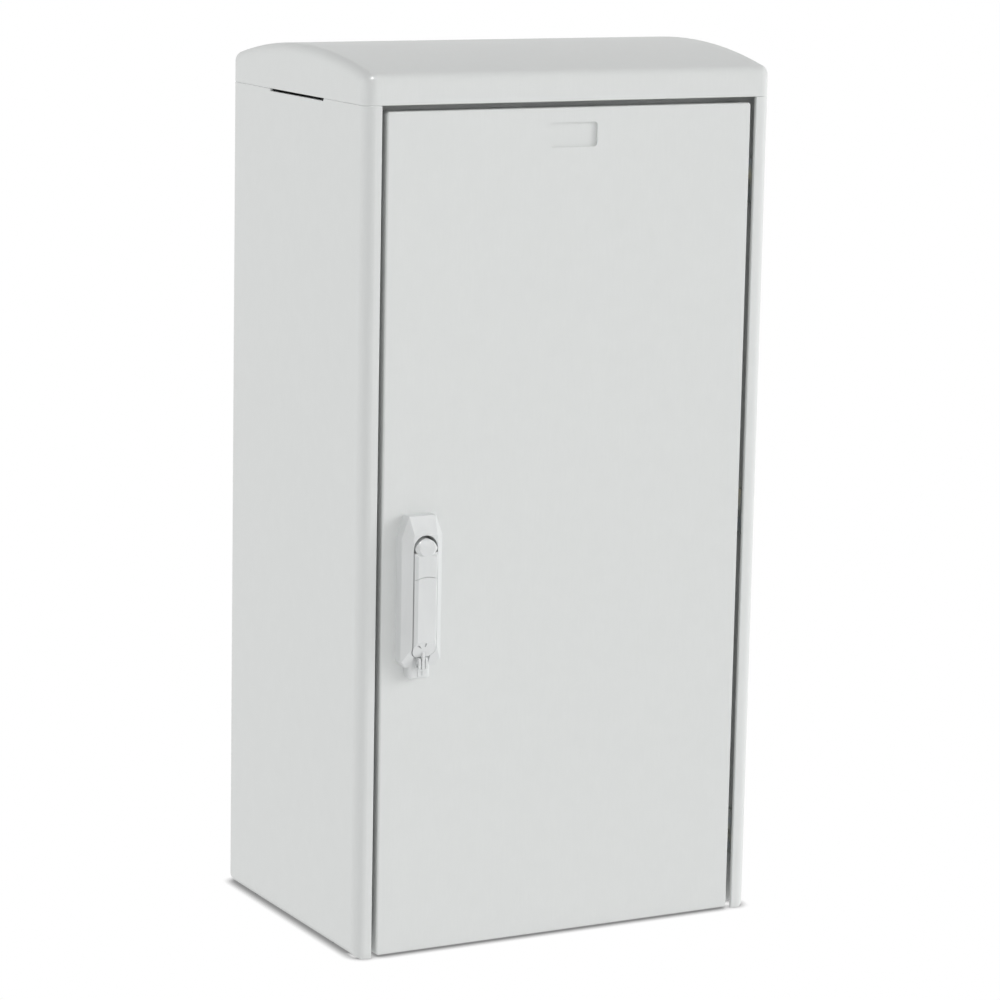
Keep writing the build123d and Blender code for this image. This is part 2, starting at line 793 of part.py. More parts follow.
# Pinion with involute teeth, running in the case and the cover on its two hubs
base_r = pitch_r * math.cos(math.radians(pressure_angle))
tooth_half_angle = (math.pi * gear_module / 2 - tooth_backlash / 2) / (2 * pitch_r)
flank_steps = 5


def involute(angle):
    """The involute function of a pressure angle in radians."""
    return math.tan(angle) - angle


def flank_point(radius, side):
    """A point of a tooth's flank: the tooth narrows outwards by the involute of its pressure angle."""
    pressure = math.acos(min(1.0, base_r / radius))
    half = tooth_half_angle + involute(math.radians(pressure_angle)) - involute(pressure)
    return (radius * math.cos(half), side * radius * math.sin(half))


with BuildSketch() as tooth:
    with BuildLine():
        radii = [base_r + (tip_r - base_r) * step / (flank_steps - 1) for step in range(flank_steps)]
        lower = Spline(*[flank_point(radius, -1) for radius in radii])
        upper = Spline(*[flank_point(radius, 1) for radius in radii])
        ThreePointArc(lower @ 1, (tip_r, 0), upper @ 1)
        Polyline(upper @ 0, (0, 0), lower @ 0)
    make_face()

with BuildPart() as pinion:
    with BuildSketch(at_spindle(rod_front)):
        Circle(root_r)
        with PolarLocations(0, pinion_teeth):
            add(tooth.sketch)
    extrude(amount=-rod_thickness)
    with BuildSketch(at_spindle(case_front)):
        Circle(pinion_hub_r)
    extrude(amount=-(cover_back - case_front))
    with BuildSketch(at_spindle(case_front)):
        Rectangle(spindle_square + bore_gap, spindle_square + bore_gap)
    extrude(amount=-(cover_back - case_front), mode=Mode.SUBTRACT)

space = tooth_pitch / 2 + tooth_backlash / 2
flank_slope = math.tan(math.radians(pressure_angle))
space_tip = space / 2 + gear_module * flank_slope
space_root = space / 2 - (gear_module + tooth_root_gap) * flank_slope
rack_root = pitch_r + gear_module + tooth_root_gap


def lock_rod(direction, end):
    """A square lock rod with rack teeth beside the pinion: it slides along Z in its direction."""
    side = -direction
    start = -direction * rack_trail_teeth * tooth_pitch
    reach = end - spindle_height
    with BuildPart() as rod:
        with BuildSketch(at_spindle(rod_front)):
            with Locations((side * rod_mid, (start + reach) / 2)):
                Rectangle(rod_width, abs(reach - start))
            for step in range(-rack_trail_teeth + 1, rack_lead_teeth):
                middle = direction * step * tooth_pitch
                with BuildLine():
                    Polyline(
                        (side * rod_inner, middle - space_tip),
                        (side * rack_root, middle - space_root),
                        (side * rack_root, middle + space_root),
                        (side * rod_inner, middle + space_tip),
                        close=True,
                    )
                make_face(mode=Mode.SUBTRACT)
        extrude(amount=-rod_thickness)
        tip = rod.faces().sort_by(Axis.Z)[-1 if direction > 0 else 0]
        chamfer(tip.edges(), rod_tip_chamfer)
    return rod


upper_rod = lock_rod(1, header_bottom + rod_lap - rod_throw)
lower_rod = lock_rod(-1, sill_top - rod_lap + rod_throw)

# Spindle: a round head in the handle housing and a square shank through the pinion and tongue
head_front = -housing_floor + lever_hub_gap
with BuildPart() as spindle:
    with BuildSketch(at_spindle(head_front)):
        Circle(spindle_head_r)
    extrude(amount=-(door_skin - head_front))
    with BuildSketch(at_spindle(door_skin)):
        Rectangle(spindle_square, spindle_square)
    extrude(amount=-(tongue_back - door_skin))
    bores(tongue_seats, tongue_screw[0] + bore_gap, tongue_screw_length + overrun)

with BuildPart() as lock_tongue:
    with BuildSketch(at_spindle(tongue_front)):
        Circle(tongue_width / 2)
        with Locations((0, -tongue_length / 2)):
            Rectangle(tongue_width, tongue_length)
        Rectangle(spindle_square + bore_gap, spindle_square + bore_gap, mode=Mode.SUBTRACT)
    extrude(amount=-tongue_thickness)
    lead_in = lock_tongue.edges().filter_by(Axis.Z).group_by(Axis.X)[0].sort_by(Axis.Y)[0]
    chamfer(lead_in, tongue_thickness / 2)


# Keepers behind the header, the sill and the left seal rib
def rod_keeper(side, limits):
    """A plate that a thrown lock rod passes behind, with its lead-in edge towards the rod."""
    x_limits = sorted(
        (
            handle_x + side * (rod_outer + keeper_side),
            handle_x + side * (rod_inner - 2 * keeper_screw_pitch),
        )
    )
    with BuildPart() as keeper:
        block(x_limits, from_front(seal_back, seal_back + keeper_plate), limits)
        level = -1 if side > 0 else 0
        lead_in = keeper.edges().filter_by(Axis.X).group_by(Axis.Z)[level].sort_by(Axis.Y)[-1]
        chamfer(lead_in, keeper_plate / 2)
        bores(keeper_seats, small_screw[0] + bore_gap, keeper_plate + overrun)
    return keeper


upper_keeper = rod_keeper(-1, upper_keeper_z)
lower_keeper = rod_keeper(1, lower_keeper_z)
with BuildPart() as side_keeper:
    block(
        (side_keeper_left, keeper_edge),
        from_front(seal_back, tongue_front - keeper_gap),
        (spindle_height - side_keeper_height / 2, spindle_height + side_keeper_height / 2),
    )
    lead_in = side_keeper.edges().filter_by(Axis.X).group_by(Axis.Y)[-1]
    chamfer(lead_in, keeper_plate)
    bores(side_keeper_seats, small_screw[0] + bore_gap, seal_rib + side_keeper_thread + thread_depth)


def rod_guide(x_mid, level):
    """A moulded guide: a window round the rod on two legs, with a screw foot at each side."""
    with BuildPart() as guide:
        low = level - guide_height / 2
        guide_back = rod_back + rod_gap + guide_wall
        with BuildSketch(Plane.XY.offset(low)):
            with Locations((x_mid, front_y + (door_skin + guide_back) / 2)):
                Rectangle(2 * guide_half, guide_back - door_skin)
            with Locations((x_mid, front_y + door_skin + guide_foot_thickness / 2)):
                Rectangle(2 * (guide_half + guide_foot), guide_foot_thickness)
            with Locations((x_mid, front_y + (rod_front + rod_back) / 2)):
                Rectangle(rod_slot, rod_thickness + 2 * rod_gap, mode=Mode.SUBTRACT)
            leg_back = rod_front - rod_gap - guide_wall
            with Locations((x_mid, front_y + (door_skin + leg_back) / 2)):
                Rectangle(rod_slot, leg_back - door_skin, mode=Mode.SUBTRACT)
        extrude(amount=guide_height)
        bores(guide_seats, small_screw[0] + bore_gap, guide_foot_thickness + overrun)
    return guide


upper_guide = rod_guide(*guide_places["upper"])
lower_guide = rod_guide(*guide_places["lower"])

# Swing handle housing: a bevelled trough with a raked top, a foot and two padlock ears
housing_half = housing_width / 2
with BuildPart() as handle_housing:
    with BuildSketch(at_spindle(0)):
        with BuildLine():
            Polyline(
                (-housing_half + housing_top_taper_x, housing_above),
                (housing_half - housing_top_taper_x, housing_above),
                (housing_half, housing_above - housing_top_taper_z),
                (housing_half, -housing_below + housing_foot_taper_z),
                (housing_half - housing_foot_taper_x, -housing_below),
                (-housing_half + housing_foot_taper_x, -housing_below),
                (-housing_half, -housing_below + housing_foot_taper_z),
                (-housing_half, housing_above - housing_top_taper_z),
                close=True,
            )
        make_face()
    extrude(amount=housing_height)
    chamfer(handle_housing.faces().sort_by(Axis.Y)[0].edges(), housing_bevel - lever_gap)
    with BuildSketch(Plane.YZ.offset(handle_x)):
        with BuildLine():
            Polyline(
                (front_y - housing_height - overrun, spindle_height + slot_r),
                (front_y - housing_height, spindle_height + slot_r),
                (front_y - housing_height + housing_top_facet, spindle_height + housing_above),
                (front_y - housing_height + housing_top_facet, spindle_height + housing_above + overrun),
                (front_y - housing_height - overrun, spindle_height + housing_above + overrun),
                close=True,
            )
        make_face()
        with BuildLine():
            Polyline(
                (front_y - housing_height - overrun, spindle_height - housing_foot_ramp),
                (front_y - housing_height, spindle_height - housing_foot_ramp),
                (front_y - housing_height + housing_foot_facet, handle_bottom),
                (front_y - housing_height + housing_foot_facet, handle_bottom - overrun),
                (front_y - housing_height - overrun, handle_bottom - overrun),
                close=True,
            )
        make_face()
    extrude(amount=housing_width, both=True, mode=Mode.SUBTRACT)
    back_edges = handle_housing.faces().sort_by(Axis.Y)[-1].edges()
    fillet([edge for edge in handle_housing.edges() if edge not in back_edges], housing_edge_r)
    with BuildSketch(at_spindle(-housing_floor)) as trough:
        with Locations((0, -(lever_below + lever_gap) / 2)):
            Rectangle(2 * slot_r, lever_below + lever_gap)
        fillet(trough.vertices().group_by(Axis.Y)[0], lever_end_r + lever_gap)
        Circle(slot_r)
    extrude(amount=housing_height, mode=Mode.SUBTRACT)
    foot_top = -lever_below - lever_gap
    foot_end = -housing_below - foot_drop
    with BuildSketch(at_spindle(0)):
        with Locations((0, (foot_top + foot_end) / 2)):
            RectangleRounded(foot_width, foot_top - foot_end, foot_edge_r)
    extrude(amount=foot_height)
    with BuildSketch(at_spindle(-foot_height)):
        with Locations((0, foot_top)):
            Rectangle(foot_notch, 2 * (housing_below - lever_below))
    extrude(amount=housing_height, mode=Mode.SUBTRACT)
    foot_lip = handle_housing.faces().sort_by(Axis.Z)[0].edges().filter_by(Axis.X).sort_by(Axis.Y)[0]
    fillet(foot_lip, foot_edge_r)
    with BuildSketch(at_spindle(-foot_height)):
        with Locations((-foot_groove_pitch / 2, foot_end), (foot_groove_pitch / 2, foot_end)):
            Rectangle(foot_groove, 2 * (foot_drop - foot_edge_r))
    extrude(amount=-foot_groove_depth, mode=Mode.SUBTRACT)
    ear_mid_y = front_y - foot_height - ear_height / 2
    ear_mid_z = spindle_height + foot_top - ear_length / 2
    shackle_z = spindle_height + foot_top - ear_length + ear_hole_inset
    for sx in (-1, 1):
        with BuildSketch(Plane.YZ.offset(handle_x + sx * ear_pitch / 2)) as ear:
            with Locations((ear_mid_y, ear_mid_z)):
                Rectangle(ear_height, ear_length)
            fillet(ear.vertices().group_by(Axis.X)[0], ear_round)
            with Locations((ear_mid_y, shackle_z)):
                Circle(shackle_hole_r, mode=Mode.SUBTRACT)
        extrude(amount=ear_thickness / 2, both=True)
    with BuildSketch(at_spindle(0)):
        Circle(housing_spigot_r)
    extrude(amount=-door_skin)
    with BuildSketch(at_spindle(-housing_floor)):
        with Locations((0, -housing_screw_down)):
            Circle(housing_boss_r)
    extrude(amount=housing_boss_height - housing_floor)
    with BuildSketch(at_spindle(door_skin)):
        Circle(spindle_head_r + running_gap)
    extrude(amount=door_skin + housing_floor, mode=Mode.SUBTRACT)
    bores(handle_seats, panel_screw[0] + bore_gap, door_skin + housing_boss_height - thread_depth)
    with Locations(Plane((handle_x, lever_axis_y, spindle_height), z_dir=(1, 0, 0))):
        Cylinder(lever_pin_r + running_gap, 2 * (slot_r + lever_pin_grip), mode=Mode.SUBTRACT)

with BuildPart() as lever_pin:
    with Locations(Plane((handle_x, lever_axis_y, spindle_height), z_dir=(1, 0, 0))):
        Cylinder(lever_pin_r, 2 * (slot_r + lever_pin_grip))

# Lever: a bar with shoulders under its round hub and a ramp at its lower end; the hub is rounded
# about the pin and relieved behind, so that it turns inside the housing
with BuildPart() as lever_blank:
    with BuildSketch(at_spindle(-lever_back)) as outline:
        with Locations((0, -(lever_below + lever_shoulder) / 2)):
            Rectangle(lever_width, lever_below - lever_shoulder)
        fillet(outline.vertices().group_by(Axis.Y)[0], lever_end_r)
    extrude(amount=lever_front - lever_back)
    chamfer(lever_blank.faces().sort_by(Axis.Y)[0].edges(), lever_edge)
    with BuildSketch(at_spindle(-lever_back)):
        Circle(lever_hub_r)
    extrude(amount=lever_front - lever_back - lever_edge)
    with BuildSketch(at_spindle(lever_edge - lever_front)):
        Circle(lever_hub_r)
    extrude(amount=lever_edge, taper=45)
    with BuildSketch(Plane.YZ.offset(handle_x)):
        with BuildLine():
            Polyline(
                (front_y - lever_front - overrun, spindle_height - lever_ramp_top),
                (front_y - lever_front, spindle_height - lever_ramp_top),
                (front_y - lever_ramp_front, spindle_height - lever_below),
                (front_y - lever_ramp_front, spindle_height - lever_below - overrun),
                (front_y - lever_front - overrun, spindle_height - lever_below - overrun),
                close=True,
            )
        make_face()
    extrude(amount=lever_width, both=True, mode=Mode.SUBTRACT)
    with BuildSketch(Plane.YZ.offset(handle_x)):
        with Locations((lever_axis_y, spindle_height + lever_half)):
            Rectangle(2 * lever_front, lever_width)
        with Locations((lever_axis_y, spindle_height)):
            Circle(lever_front - lever_pin_depth, mode=Mode.SUBTRACT)
    extrude(amount=lever_width, both=True, mode=Mode.SUBTRACT)
    lifted = math.radians(lever_lift)
    relief_dir = (0, math.cos(lifted), math.sin(lifted))
    with BuildSketch(Plane((handle_x, lever_axis_y, spindle_height), x_dir=relief_dir, z_dir=(1, 0, 0))):
        with Locations((lever_pin_depth - housing_floor - lever_hub_gap + lever_half, 0)):
            Rectangle(lever_width, 2 * lever_width)
    extrude(amount=lever_width, both=True, mode=Mode.SUBTRACT)

with BuildSketch(at_spindle(-lever_front + cover_thickness)) as cover_field:
    with BuildLine():
        Polyline(
            (-lever_width, -cover_top - cover_arch),
            (-lever_width, -lever_below - overrun),
            (lever_width, -lever_below - overrun),
            (lever_width, -cover_top - cover_arch),
        )
        Line((lever_width, -cover_top - cover_arch), (lever_half, -cover_top - cover_arch))
        ThreePointArc(
            (lever_half, -cover_top - cover_arch), (0, -cover_top), (-lever_half, -cover_top - cover_arch)
        )
        Line((-lever_half, -cover_top - cover_arch), (-lever_width, -cover_top - cover_arch))
    make_face()

with BuildSketch(at_spindle(-lever_front)) as thumb:
    thumb_left = lever_edge - lever_half
    with BuildLine():
        Polyline(
            (thumb_left, -thumb_down),
            (thumb_left + thumb_width / 2, -thumb_down),
            (thumb_left + thumb_width, -thumb_down - thumb_height),
            close=True,
        )
    make_face()

with BuildPart() as lever_arm:
    add(lever_blank.part)
    extrude(cover_field.sketch, amount=lever_front, mode=Mode.SUBTRACT)
    extrude(thumb.sketch, amount=-thumb_depth, mode=Mode.SUBTRACT)
    with BuildSketch(at_spindle(-lever_back)):
        pocket_end = lever_below - lever_pocket_end
        with Locations((0, -(lever_pocket_top + pocket_end) / 2)):
            RectangleRounded(lever_width - 2 * lever_wall, pocket_end - lever_pocket_top, lever_wall)
    extrude(amount=lever_front - lever_back - cover_thickness - lever_wall, mode=Mode.SUBTRACT)
    with BuildSketch(Plane.YZ.offset(handle_x)):
        hasp_mid_z = spindle_height - lever_below + (lever_pocket_end - hasp_length) / 2
        with Locations((ear_mid_y - lever_gap, hasp_mid_z)):
            Rectangle(ear_height, lever_pocket_end + hasp_length)
        with Locations((ear_mid_y, shackle_z)):
            Circle(shackle_hole_r, mode=Mode.SUBTRACT)
    extrude(amount=hasp_thickness / 2, both=True)
    with Locations(Plane((handle_x, lever_axis_y, spindle_height), z_dir=(1, 0, 0))):
        Cylinder(lever_pin_r + running_gap, 2 * lever_width, mode=Mode.SUBTRACT)

with BuildPart() as lever_cover:
    add(lever_blank.part)
    lowered = cover_field.sketch.moved(Location((0, 0, -cover_seam)))
    extrude(lowered, amount=lever_front, mode=Mode.INTERSECT)
    extrude(thumb.sketch, amount=-thumb_depth, mode=Mode.SUBTRACT)
    with BuildSketch(at_spindle(-lever_front)):
        with Locations((0, -cover_slot_down)):
            SlotOverall(cover_slot_length, cover_slot_width, rotation=90)
    extrude(amount=-cover_thickness, mode=Mode.SUBTRACT)

hinge_nut_seats = facing(
    (0, 1, 0), [(seat.origin.X, front_y + seal_back, seat.origin.Z) for seat in bracket_seats]
)
with BuildPart() as hinge_nuts:
    for seat in hinge_nut_seats:
        with BuildSketch(seat):
            RegularPolygon(panel_screw[1], 6)
            Circle(panel_screw[0] + bore_gap, mode=Mode.SUBTRACT)
        extrude(amount=panel_screw[2])

save(left_panel, "left_side_panel")
save(right_panel, "right_side_panel")
save(roof, "roof")
save(back_panel, "back_panel")
save(base_tray, "base_tray")
save(sill_rail, "sill_rail")
save(header_rail, "header_rail")
save(gland_plate, "gland_plate")
save(top_panel, "top_panel")
save(mounting_plate, "mounting_plate")
for name, split in hinge_splits.items():
    save(hinge_bracket(split), f"hinge_bracket_{name}")
    save(hinge_pin(split), f"hinge_pin_{name}")
    save(hinge_arm(split), f"hinge_arm_{name}")
save(door_panel, "door_panel")
save(door_gasket, "door_gasket")
save(lock_case, "lock_case")
save(lock_cover, "lock_cover")
save(pinion, "pinion")
save(upper_rod, "upper_lock_rod")
save(lower_rod, "lower_lock_rod")
save(spindle, "spindle")
save(lock_tongue, "lock_tongue")
save(upper_keeper, "upper_keeper")
save(lower_keeper, "lower_keeper")
save(side_keeper, "side_keeper")
save(upper_guide, "upper_rod_guide")
save(lower_guide, "lower_rod_guide")
save(handle_housing, "handle_housing")
save(lever_pin, "lever_pin")
save(lever_arm, "lever_arm")
save(lever_cover, "lever_cover")
save(hinge_nuts, "hinge_nuts")
fasteners("hinge_bolts", bracket_seats, panel_screw, bracket_plate + seal_rib + panel_screw[2])
fasteners("hinge_arm_screws", arm_seats, small_screw, arm_plate + stiffener_depth)
fasteners("ceiling_screws", ceiling_seats, panel_screw, wall + panel_boss_height / 2)
fasteners("base_screws", floor_seats, panel_screw, thread_depth + panel_boss_height / 2)
fasteners("back_screws", back_seats, panel_screw, wall + thread_depth)
fasteners("roof_screws", roof_seats, panel_screw, wall + panel_boss_height / 2)
fasteners("plate_screws", plate_seats, plate_screw, plate_thickness + plate_standoff / 2)
fasteners("gland_screws", gland_seats, small_screw, gland_plate_thickness + thread_depth)
fasteners("case_screws", case_seats, small_screw, cover_back - case_front + panel_boss_height / 2)
fasteners("handle_screws", handle_seats, panel_screw, door_skin + housing_boss_height / 2)
fasteners("tongue_screw", tongue_seats, tongue_screw, tongue_screw_length)
fasteners("guide_screws", guide_seats, small_screw, guide_foot_thickness + thread_depth)
fasteners("keeper_screws", keeper_seats, small_screw, keeper_plate + thread_depth)
fasteners("side_keeper_screws", side_keeper_seats, small_screw, seal_rib + side_keeper_thread)
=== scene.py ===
"""Roadside utility cabinet of moulded polyester: finishes, floor, studio light and camera."""
import json
import math

import bmesh
import bpy
import numpy as np
from mathutils import Matrix, Vector


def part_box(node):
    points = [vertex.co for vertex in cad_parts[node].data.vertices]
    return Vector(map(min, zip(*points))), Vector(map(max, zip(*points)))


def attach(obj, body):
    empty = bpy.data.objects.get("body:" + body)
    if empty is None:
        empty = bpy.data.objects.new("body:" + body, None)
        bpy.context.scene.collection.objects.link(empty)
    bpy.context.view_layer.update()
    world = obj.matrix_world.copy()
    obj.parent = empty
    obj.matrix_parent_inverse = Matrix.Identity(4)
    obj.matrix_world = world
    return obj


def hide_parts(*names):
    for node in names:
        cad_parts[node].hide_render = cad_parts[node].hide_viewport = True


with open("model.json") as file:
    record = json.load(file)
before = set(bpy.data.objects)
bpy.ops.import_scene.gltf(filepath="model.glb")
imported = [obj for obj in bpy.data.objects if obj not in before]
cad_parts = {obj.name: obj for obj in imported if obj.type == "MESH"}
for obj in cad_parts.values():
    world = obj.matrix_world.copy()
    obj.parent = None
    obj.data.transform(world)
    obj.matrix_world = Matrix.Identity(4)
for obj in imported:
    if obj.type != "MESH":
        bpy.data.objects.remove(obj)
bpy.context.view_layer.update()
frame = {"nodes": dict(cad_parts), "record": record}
left_box, right_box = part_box("left_side_panel"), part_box("right_side_panel")
body_low, body_high = left_box[0], right_box[1]
nodes = frame["nodes"]
MM = 0.001

# Pressed foot: the rounds of the body's corners in plan, the round on which the foot draws in, the angle in degrees
# at which that round ends, how far the tub stands outside elsewhere, and how finely its rounds are stepped
FRONT_CORNER, BACK_CORNER, FOOT_ROUND = 13.5 * MM, 13.0 * MM, 10.7 * MM
LAST_ANGLE, TUB_OUTSIDE = 4, 2 * MM
CORNER_POINTS, FOOT_RINGS = 13, 17
# points this close are one point, and faces that meet at more degrees than this meet in a sharp edge
SAME_POINT, SHARP_ANGLE = 0.001 * MM, 25

# Label field: how far its middle lies below the door's top, the reach that takes in its rim, and what it grows by
FIELD_DOWN = 31.0 * MM
FIELD_REACH_X, FIELD_REACH_Y, FIELD_REACH_Z = 29 * MM, 2 * MM, 13 * MM
FIELD_FLOOR = 1 * MM
FIELD_RIGHT, FIELD_LEFT, FIELD_UP, FIELD_DEEPER = 1.5 * MM, 1.0 * MM, 1.8 * MM, 1.5 * MM

# Lever: shares of the solid's width, the millimetres below its pin over which the hub widens, and the widest half
LEVER_SHARE, HUB_MORE, HUB_RUN = 0.962, 0.218, 9
ARCH_SHARE, ARCH_LESS_PER_MM = 1.19, 0.02
LEVER_HALF = 14.0 * MM

# Studio: the floor's contact shadow, as the share of open sky against brightness, and the levels of the light
SHADOW_REACH = 14 * MM
SHADOW_DARKEST = 0.22
SHADOW_CURVE = ((0.35, 0.30), (0.5, 0.44), (0.62, 0.58), (0.90, 1.0))
FLOOR_HALF_SIZE = 30.0
FLOOR_LIGHT, WALL_LIGHT, CEILING_LIGHT = 0.89, 1.0, 0.38

# Camera: degrees turned round the cabinet, tilted and rolled, its place in metres and its focal length in pixels
TURNED, TILTED, ROLLED = 28.2518, -10.6776, 1.1218
STANDPOINT = (-2.035912, -3.808962, 1.285681)
FOCAL_PIXELS, PICTURE_PIXELS, FILM_WIDTH, SIGHT_END = 3797.907, 1000, 36.0, 100.0


def linear(code, alpha=1.0):
    """An sRGB hex colour as linear RGBA."""
    values = np.array([int(code[i : i + 2], 16) for i in (1, 3, 5)]) / 255
    curve = np.where(values <= 0.04045, values / 12.92, ((values + 0.055) / 1.055) ** 2.4)
    return (*curve.tolist(), alpha)


def add(tree, kind, settings=None, inputs=None):
    """Adds one node: settings are its own fields, inputs are numbers, colours or sockets to link from."""
    node = tree.nodes.new(kind)
    for name, value in (settings or {}).items():
        setattr(node, name, value)
    for name, value in (inputs or {}).items():
        if isinstance(value, bpy.types.NodeSocket):
            tree.links.new(value, node.inputs[name])
        else:
            node.inputs[name].default_value = value
    return node


def per_mm(size):
    """Texture scale, in cycles per metre, of a pattern whose cells are this many millimetres wide."""
    return 1 / (size * MM)


def blank(name):
    """An empty material with its output and a Principled shader."""
    material = bpy.data.materials.new(name)
    material.use_nodes = True
    tree = material.node_tree
    tree.nodes.clear()
    shader = add(tree, "ShaderNodeBsdfPrincipled")
    output = add(tree, "ShaderNodeOutputMaterial")
    tree.links.new(shader.outputs["BSDF"], output.inputs["Surface"])
    return material, tree, shader


def moulded_polyester():
    """Hot-pressed glass-fibre polyester, through-coloured light grey, satin as it leaves the tool.

    To the eye: an even grey with a faint cloud of resin flow, glass strands just under the skin and a
    soft orange peel that breaks up the sheen.
    """
    material, tree, shader = blank("moulded_glass_fibre_polyester")
    place = add(tree, "ShaderNodeTexCoord").outputs["Object"]
    # resin flow clouds about 90 mm wide
    cloud = add(tree, "ShaderNodeTexNoise", None,
                {"Vector": place, "Scale": per_mm(90), "Detail": 3.0, "Roughness": 0.55})
    # glass strands, about 20 mm long and 1.6 mm wide, in two crossing lays
    lays = []
    for turn, stretch in (((0.3, 0.2, 0.6), (1.0, 0.08, 0.08)), ((0.9, -0.5, -0.4), (0.08, 1.0, 0.08))):
        laid = add(tree, "ShaderNodeMapping", None, {"Vector": place, "Rotation": turn, "Scale": stretch})
        lays.append(add(tree, "ShaderNodeTexNoise", None,
                        {"Vector": laid.outputs["Vector"], "Scale": per_mm(1.6), "Detail": 1.0}))
    strands = add(tree, "ShaderNodeMath", {"operation": "MULTIPLY"},
                  {0: lays[0].outputs["Fac"], 1: lays[1].outputs["Fac"]})
    shade = add(tree, "ShaderNodeMath", {"operation": "MULTIPLY_ADD"},
                {0: cloud.outputs["Fac"], 1: 0.25, 2: strands.outputs["Value"]})
    tone = add(tree, "ShaderNodeValToRGB", None, {"Fac": shade.outputs["Value"]})
    tone.color_ramp.elements[0].position = 0.20
    tone.color_ramp.elements[0].color = linear("#D7D9D8")
    tone.color_ramp.elements[1].position = 0.60
    tone.color_ramp.elements[1].color = linear("#D9DBDA")
    tree.links.new(tone.outputs["Color"], shader.inputs["Base Color"])
    # orange peel of the pressed skin, about 2.2 mm from crest to crest
    peel = add(tree, "ShaderNodeTexNoise", None, {"Vector": place, "Scale": per_mm(2.2), "Detail": 2.0})
    bump = add(tree, "ShaderNodeBump", None,
               {"Height": peel.outputs["Fac"], "Strength": 0.10, "Distance": 0.05 * MM})
    tree.links.new(bump.outputs["Normal"], shader.inputs["Normal"])
    sheen = add(tree, "ShaderNodeMapRange", None,
                {"Value": cloud.outputs["Fac"], "From Min": 0.3, "From Max": 0.7, "To Min": 0.46, "To Max": 0.50})
    tree.links.new(sheen.outputs["Result"], shader.inputs["Roughness"])
    shader.inputs["IOR"].default_value = 1.5
    shader.inputs["Specular IOR Level"].default_value = 0.1
    # the resin-rich outer skin is thin and smoother: it only shows in the glints on corners
    shader.inputs["Coat Weight"].default_value = 0.15
    shader.inputs["Coat Roughness"].default_value = 0.2
    return material


def moulded_polyamide(name, dark, light, grain, roughness):
    """Injection-moulded glass-filled polyamide with a spark-eroded tool face.

    To the eye: a dry, fine grain with slightly glossier flow streaks. The real grain is about 0.1 mm; it is
    drawn at the given millimetres so that it shows in the render.
    """
    material, tree, shader = blank(name)
    place = add(tree, "ShaderNodeTexCoord").outputs["Object"]
    flow_place = add(tree, "ShaderNodeMapping", None, {"Vector": place, "Scale": (1.0, 1.0, 0.2)})
    flow = add(tree, "ShaderNodeTexNoise", None,
               {"Vector": flow_place.outputs["Vector"], "Scale": per_mm(14), "Detail": 3.0})
    tone = add(tree, "ShaderNodeValToRGB", None, {"Fac": flow.outputs["Fac"]})
    tone.color_ramp.elements[0].position = 0.3
    tone.color_ramp.elements[0].color = linear(dark)
    tone.color_ramp.elements[1].position = 0.7
    tone.color_ramp.elements[1].color = linear(light)
    tree.links.new(tone.outputs["Color"], shader.inputs["Base Color"])
    spark = add(tree, "ShaderNodeTexNoise", None, {"Vector": place, "Scale": per_mm(grain), "Detail": 3.0})
    bump = add(tree, "ShaderNodeBump", None,
               {"Height": spark.outputs["Fac"], "Strength": 0.12, "Distance": 0.04 * MM})
    tree.links.new(bump.outputs["Normal"], shader.inputs["Normal"])
    gloss = add(tree, "ShaderNodeMapRange", None,
                {"Value": flow.outputs["Fac"], "From Min": 0.3, "From Max": 0.7,
                 "To Min": roughness - 0.04, "To Max": roughness + 0.05})
    tree.links.new(gloss.outputs["Result"], shader.inputs["Roughness"])
    shader.inputs["IOR"].default_value = 1.53
    return material


def zinc_plate():
    """Electroplated zinc on steel, clear passivated.

    To the eye: a bright grey metal with a faint blue and straw bloom and fine drawing lines.
    """
    material, tree, shader = blank("zinc_plated_steel")
    place = add(tree, "ShaderNodeTexCoord").outputs["Object"]
    bloom = add(tree, "ShaderNodeTexNoise", None, {"Vector": place, "Scale": per_mm(18), "Detail": 2.0})
    tone = add(tree, "ShaderNodeValToRGB", None, {"Fac": bloom.outputs["Fac"]})
    tone.color_ramp.elements[0].position = 0.3
    tone.color_ramp.elements[0].color = linear("#AEB6BD")
    tone.color_ramp.elements[1].position = 0.7
    tone.color_ramp.elements[1].color = linear("#C4C2B6")
    tree.links.new(tone.outputs["Color"], shader.inputs["Base Color"])
    # drawing lines along the bar, about 0.6 mm apart and 20 mm long
    along = add(tree, "ShaderNodeMapping", None, {"Vector": place, "Scale": (1.0, 1.0, 0.03)})
    lines = add(tree, "ShaderNodeTexNoise", None,
                {"Vector": along.outputs["Vector"], "Scale": per_mm(0.6), "Detail": 2.0})
    gloss = add(tree, "ShaderNodeMapRange", None,
                {"Value": lines.outputs["Fac"], "From Min": 0.3, "From Max": 0.7, "To Min": 0.26, "To Max": 0.42})
    tree.links.new(gloss.outputs["Result"], shader.inputs["Roughness"])
    bump = add(tree, "ShaderNodeBump", None,
               {"Height": lines.outputs["Fac"], "Strength": 0.15, "Distance": 0.02 * MM})
    tree.links.new(bump.outputs["Normal"], shader.inputs["Normal"])
    shader.inputs["Metallic"].default_value = 1.0
    return material


